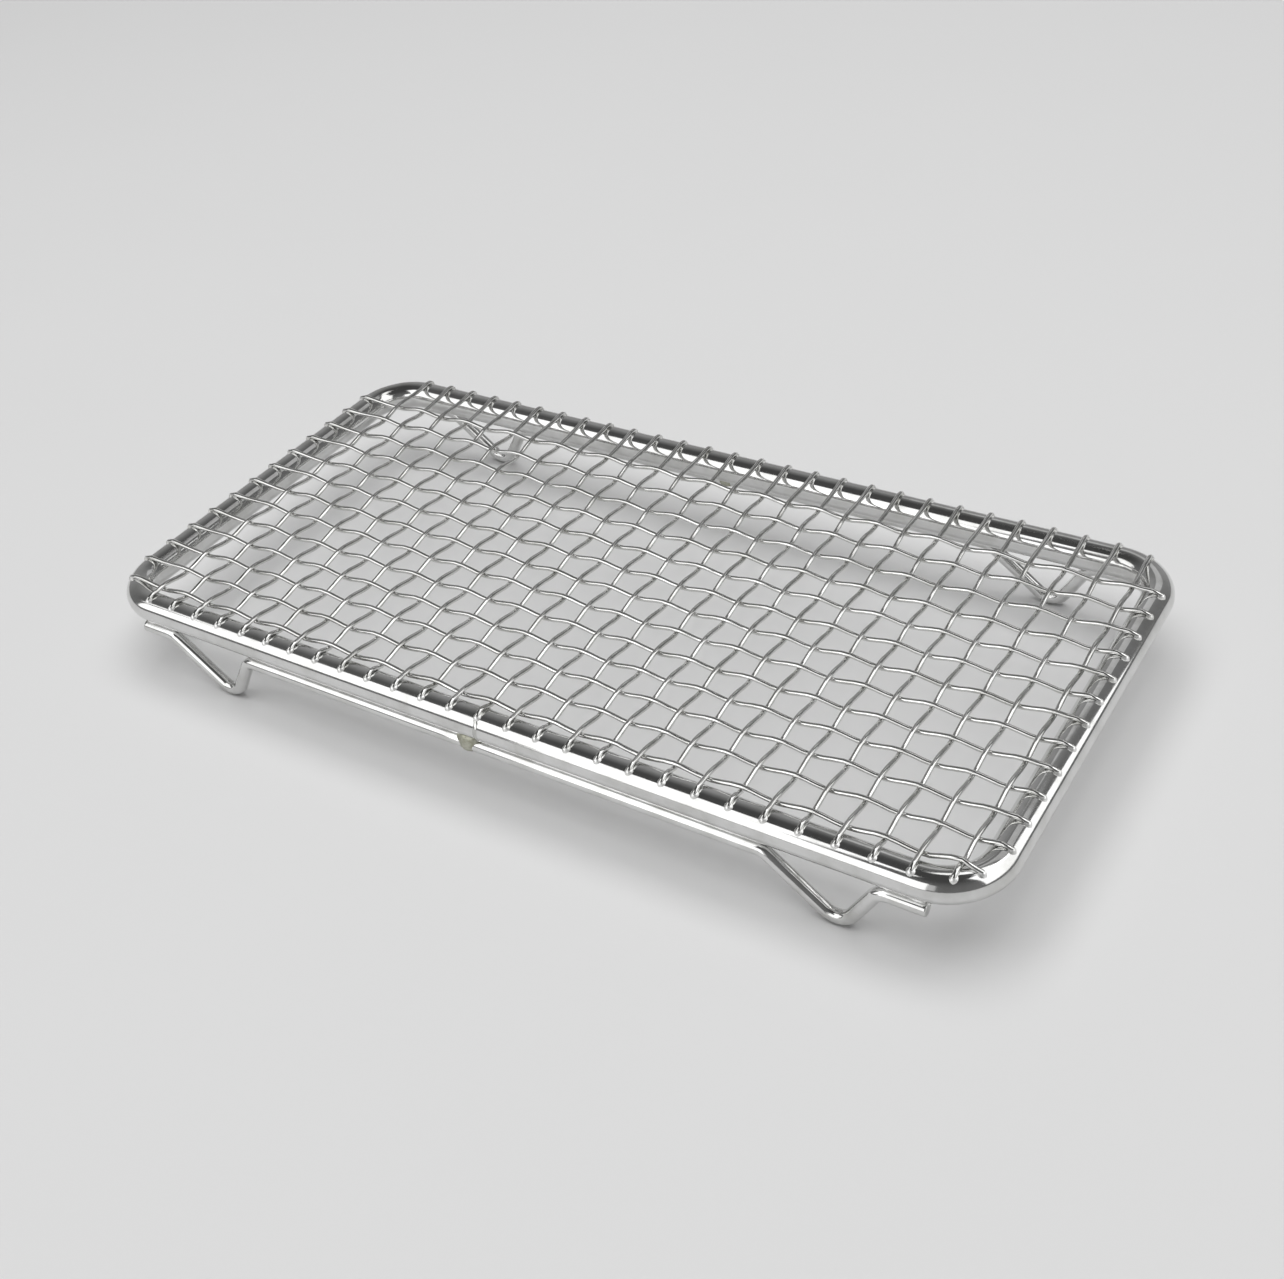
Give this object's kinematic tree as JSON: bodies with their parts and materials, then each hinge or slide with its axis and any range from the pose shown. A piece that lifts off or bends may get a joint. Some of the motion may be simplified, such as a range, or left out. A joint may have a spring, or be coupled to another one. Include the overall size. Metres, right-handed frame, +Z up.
{
  "type": "cooling rack",
  "caption": "Footed wire cooling rack: a rectangular heavy wire rim with rounded corners, a woven crimped wire mesh laid over it and V-bent leg wires under its long sides.",
  "frame": {"origin": "on the resting surface, under the middle of the rim", "axes": "+X along the rack, +Y from its front long side to its back long side, +Z up"},
  "size_m": [0.254, 0.1274, 0.0256],
  "materials": {
    "rim_chrome": "bright plated heavy wire, smooth, with fine handling scratches",
    "mesh_chrome": "bright plated crimped wire",
    "leg_chrome": "bright plated bent wire, slightly scuffed under the feet",
    "weld_metal": "dull plated-over weld metal"
  },
  "bodies": {
    "root": {"rim": "rim_chrome", "rim_weld": "weld_metal", "cross_wire_01": "mesh_chrome", "cross_wire_02": "mesh_chrome", "cross_wire_03": "mesh_chrome", "cross_wire_04": "mesh_chrome", "cross_wire_05": "mesh_chrome", "cross_wire_06": "mesh_chrome", "cross_wire_07": "mesh_chrome", "cross_wire_08": "mesh_chrome", "cross_wire_09": "mesh_chrome", "cross_wire_10": "mesh_chrome", "cross_wire_11": "mesh_chrome", "cross_wire_12": "mesh_chrome", "cross_wire_13": "mesh_chrome", "cross_wire_14": "mesh_chrome", "cross_wire_15": "mesh_chrome", "cross_wire_16": "mesh_chrome", "cross_wire_17": "mesh_chrome", "cross_wire_18": "mesh_chrome", "cross_wire_19": "mesh_chrome", "cross_wire_20": "mesh_chrome", "cross_wire_21": "mesh_chrome", "cross_wire_22": "mesh_chrome", "cross_wire_23": "mesh_chrome", "cross_wire_24": "mesh_chrome", "cross_wire_25": "mesh_chrome", "cross_wire_26": "mesh_chrome", "cross_wire_27": "mesh_chrome", "cross_wire_28": "mesh_chrome", "long_wire_01": "mesh_chrome", "long_wire_02": "mesh_chrome", "long_wire_03": "mesh_chrome", "long_wire_04": "mesh_chrome", "long_wire_05": "mesh_chrome", "long_wire_06": "mesh_chrome", "long_wire_07": "mesh_chrome", "long_wire_08": "mesh_chrome", "long_wire_09": "mesh_chrome", "long_wire_10": "mesh_chrome", "long_wire_11": "mesh_chrome", "long_wire_12": "mesh_chrome", "long_wire_13": "mesh_chrome", "leg_wire_front_left": "leg_chrome", "leg_wire_front_right": "leg_chrome", "leg_wire_back_left": "leg_chrome", "leg_wire_back_right": "leg_chrome", "leg_weld_front": "weld_metal", "leg_weld_back": "weld_metal"}
  },
  "joints": []
}
